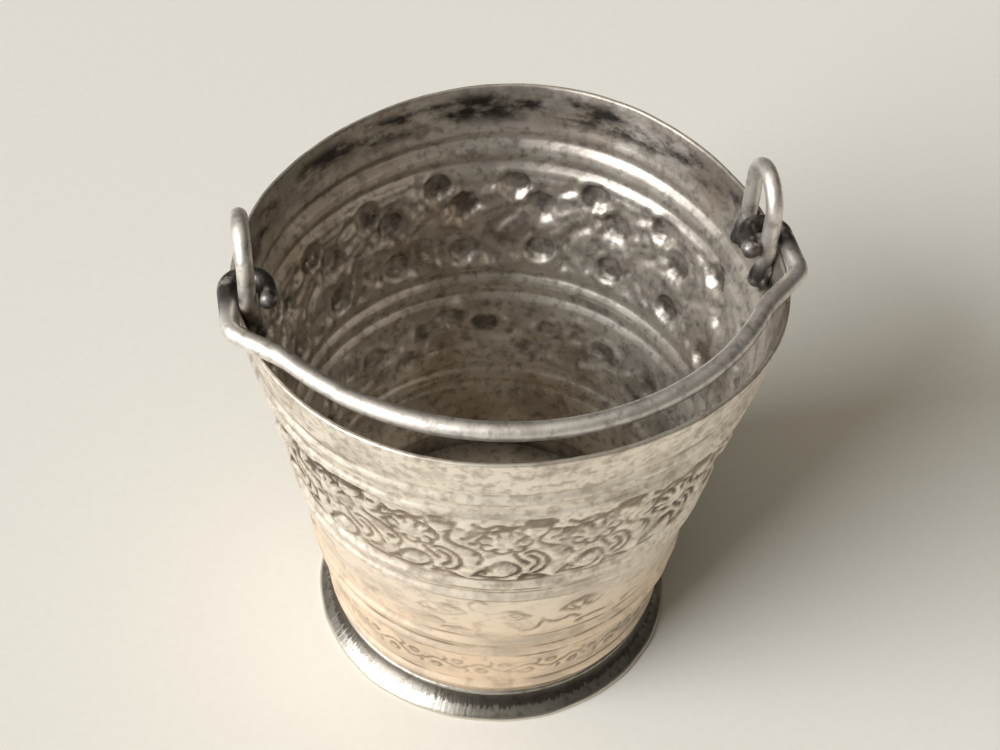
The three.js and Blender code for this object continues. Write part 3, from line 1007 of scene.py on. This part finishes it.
def from_axis(tree, where):
    """The level arrow from the pail's axis to a place, and its length."""
    flat = add(tree, "ShaderNodeVectorMath", {0: where, 1: (1, 1, 0)}, operation="MULTIPLY")
    return flat, add(tree, "ShaderNodeVectorMath", {0: flat}, operation="LENGTH", out="Value")


def along_the_band(tree, where):
    """Places drawn together round the pail, so that patches lie along the bands as the cloth leaves them."""
    return add(tree, "ShaderNodeVectorMath", {0: where, 1: (1, 1, BAND_STRETCH)}, operation="MULTIPLY")


def pale_card():
    """Plain matt card: it gives the silver something bright to mirror."""
    material, tree, where = new_material("plain_pale_card")
    felt = add(tree, "ShaderNodeTexNoise", {"Vector": where, "Scale": 1 / FELT_ACROSS, "Detail": 4.0})
    shade = stained(tree, "#E6E2D8", (felt, "#EDE9E0"))
    shader = add(tree, "ShaderNodeBsdfPrincipled", {"Base Color": shade, "Roughness": 0.9})
    add(tree, "ShaderNodeOutputMaterial", {"Surface": shader})
    return material


def chased_silver_rubbed():
    """Chased silver rubbed by hands: a soft cream mirror, brown in the chased lines and in faint clouds."""
    material, tree, where = new_material("chased_silver_rubbed")
    height = add(tree, "ShaderNodeSeparateXYZ", {0: where}, out="Z")
    warm_below = between(tree, height, 34 * MM, 12 * MM, 0.85)
    clouds = patches(tree, along_the_band(tree, where), 9 * MM, 0.46, 0.64, 0.45)
    flecks = patches(tree, where, 2.4 * MM, 0.5, 0.68, 0.36, 3.0)
    specks = patches(tree, where, 1.1 * MM, 0.44, 0.7, 0.45, 1.5)
    unrubbed = both(tree, between(tree, height, 24 * MM, 33 * MM), specks)
    line = add(tree, "ShaderNodeAttribute", attribute_name="chased", out="Fac")
    kept = patches(tree, where, 4 * MM, 0.28, 0.48)
    beside_line = both(tree, between(tree, line, 0.02, 0.4, 0.65), kept)
    in_line = both(tree, between(tree, line, 0.22, 0.7, 0.85), kept)
    rim = between(tree, height, RIM_HEIGHT - 0.4 * MM, RIM_HEIGHT - 0.1 * MM, 0.35)
    colour = stained(
        tree,
        "#F3E9DA",
        (warm_below, "#F2DABE"),
        (clouds, "#B4A899"),
        (flecks, "#A39482"),
        (unrubbed, "#8E7C68"),
        (beside_line, "#9A866F"),
        (in_line, "#524638"),
        (rim, "#8E8475"),
    )
    return silver(material, colour, 0.46, fine_wear(tree, where, 0.5), film=0.2)


def chased_silver_tarnished():
    """The same sheet inside, out of the cloth's reach: brown clouds, dark hollows of patina and painted
    shade, painted shade in the corner at the foot, painted light lower down, and black below the rim.
    """
    material, tree, where = new_material("chased_silver_tarnished")
    height = add(tree, "ShaderNodeSeparateXYZ", {0: where}, out="Z")
    band = along_the_band(tree, where)
    # Painted light: the inside is painted lighter towards the bottom and greyer above, standing in for the
    # light that reaches deep into the pail
    grey_above_painted_light_below = between(tree, height, 24 * MM, 38 * MM, 0.8)
    clouds = patches(tree, where, 6 * MM, 0.42, 0.66, 0.55)
    brown_clouds = patches(tree, where, 14 * MM, 0.5, 0.68, 0.45)
    specks = patches(tree, where, 1.3 * MM, 0.46, 0.72, 0.5, 2.0)
    crown = add(tree, "ShaderNodeAttribute", attribute_name="crown", out="Fac")
    # The dimples' floors are darkened partly as patina and partly as painted shade
    hollow = both(tree, between(tree, crown, 0.25, 1.1), patches(tree, where, 3.5 * MM, 0.36, 0.64, 0.7))
    # Painted shade: darker in the corner where the wall meets the floor
    painted_corner_shade = between(tree, height, WALL_FOOT + 3 * MM, WALL_FOOT + 1 * MM, 0.6)
    plain_band = between(tree, height, 49.5 * MM, 54 * MM)
    dull = both(tree, plain_band, patches(tree, band, 9 * MM, 0.25, 0.6, 0.55))
    soot_starts = between(tree, height, 51 * MM, 53.2 * MM)
    soot_ends = between(tree, height, 56 * MM, 54.6 * MM)
    sooty = both(tree, patches(tree, band, 7 * MM, 0.43, 0.6, 0.95), both(tree, soot_starts, soot_ends))
    colour = stained(
        tree,
        "#F2ECE1",
        (grey_above_painted_light_below, "#C6BCAF"),
        (clouds, "#978C80"),
        (brown_clouds, "#B3977A"),
        (specks, "#5C5146"),
        (hollow, "#38312A"),
        (painted_corner_shade, "#2E2922"),
        (dull, "#6A5F52"),
        (sooty, "#26211B"),
    )
    return silver(material, colour, 0.44, fine_wear(tree, where, 0.6), film=0.25)


def sheet_silver_tarnished():
    """Hammered sheet, seldom rubbed: dull and brown-grey, with painted shade towards the seam under the
    wall.
    """
    material, tree, where = new_material("sheet_silver_tarnished")
    radius = from_axis(tree, where)[1]
    clouds = patches(tree, where, 6 * MM, 0.42, 0.62, 0.35)
    specks = patches(tree, where, 1.3 * MM, 0.48, 0.72, 0.5, 2.0)
    # Painted shade: the floor is darker towards the seam under the wall
    painted_corner_shade = between(tree, radius, WALL_FOOT_RADIUS - 6 * MM, WALL_FOOT_RADIUS - 1.5 * MM, 0.5)
    colour = stained(tree, "#ECE5D9", (clouds, "#A0968A"), (specks, "#5A5147"), (painted_corner_shade, "#2B2620"))
    return silver(material, colour, 0.38, fine_wear(tree, where, 0.7), film=0.3)


def filed_silver():
    """The foot's flare, filed across and still a mirror, dark at its neck with soot and painted shade, and
    rubbed bright at its edge, partly a painted highlight.
    """
    material, tree, where = new_material("filed_silver")
    flat, radius = from_axis(tree, where)
    # The same reading all the way along each line out from the axis, so the file's marks run outwards
    ray = add(tree, "ShaderNodeVectorMath", {0: flat}, operation="NORMALIZE")
    marks = add(tree, "ShaderNodeTexNoise", {"Vector": ray, "Scale": FILE_MARKS, "Detail": 5.0})
    clouds = patches(tree, where, 4 * MM, 0.42, 0.62, 0.5)
    specks = patches(tree, where, 1 * MM, 0.5, 0.72, 0.5, 2.0)
    # The dark band at the neck is soot together with painted shade under the wall's overhang
    ragged = add(tree, "ShaderNodeMath", {0: marks, 1: DARK_NECK_RAGGED, 2: radius}, operation="MULTIPLY_ADD")
    neck = between(tree, ragged, FOOT_NECK + 2.05 * MM, FOOT_NECK + 1.75 * MM, 0.75)
    # The lighter outer edge is rubbed bright and is also a painted highlight
    edge = between(tree, radius, FOOT_RADIUS - 0.35 * MM, FOOT_RADIUS - 0.1 * MM)
    stains = ((clouds, "#8F887C"), (specks, "#6B6458"), (neck, "#463E34"), (edge, "#D6CEC0"))
    colour = stained(tree, "#ADA79C", *stains)
    worn = fine_wear(tree, where, 0.4)
    filed = {"Height": marks, "Strength": 0.16, "Distance": 0.2 * MM, "Normal": worn}
    return silver(material, colour, 0.33, add(tree, "ShaderNodeBump", filed), film=0.1)


def drawn_silver(name, axis, clean, black):
    """Drawn wire: brighter than the sheet, and black along one axis, with soot where wire rubs in wire and
    with painted shade.
    """
    material, tree, where = new_material(name)
    place = add(tree, "ShaderNodeSeparateXYZ", {0: where}, out=axis)
    clouds = patches(tree, where, 4 * MM, 0.42, 0.64, 0.5)
    specks = patches(tree, where, 1.2 * MM, 0.48, 0.74, 0.45, 2.0)
    # The black along one axis is soot together with painted shade
    soot_and_shade = both(tree, between(tree, place, clean, black), patches(tree, where, 2.2 * MM, 0.28, 0.5, 0.9))
    colour = stained(tree, "#EDE6DD", (clouds, "#A89D92"), (specks, "#6B6056"), (soot_and_shade, "#2E2A25"))
    return silver(material, colour, 0.48, fine_wear(tree, where, 0.6), film=0.15)


def stand_for(piece, node, body, material=None):
    """Puts a finished piece in a node's place, on its body."""
    if material:
        piece.data.materials.clear()
        piece.data.materials.append(material)
    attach(piece, body)
    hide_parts(node)


place_camera()
lay_board(pale_card())
hang_window()
light_the_room()

for half in chase_wall(chased_silver_rubbed(), chased_silver_tarnished()):
    stand_for(half, "pail_wall", "pail")
stand_for(turn_foot(), "foot_ring", "pail", filed_silver())
stand_for(turn_floor(), "floor_plate", "pail", sheet_silver_tarnished())
wire = wire_tree()
ear_silver = drawn_silver("drawn_silver_ear_wire", "Z", *EAR_SOOT_AND_SHADE)
bail_silver = drawn_silver("drawn_silver_bail_wire", "Y", *BAIL_SOOT_AND_SHADE)
stand_for(make_ear("ear_left_soldered", -1, wire, ear_silver), "ear_left", "pail")
stand_for(make_ear("ear_right_soldered", 1, wire, ear_silver), "ear_right", "pail")
bail = draw_wire("bail_bent", bail_points(), BAIL_WIRE, wire, bail_silver)
stand_for(bail, "bail", "bail")

bpy.context.scene.view_settings.view_transform = "Standard"
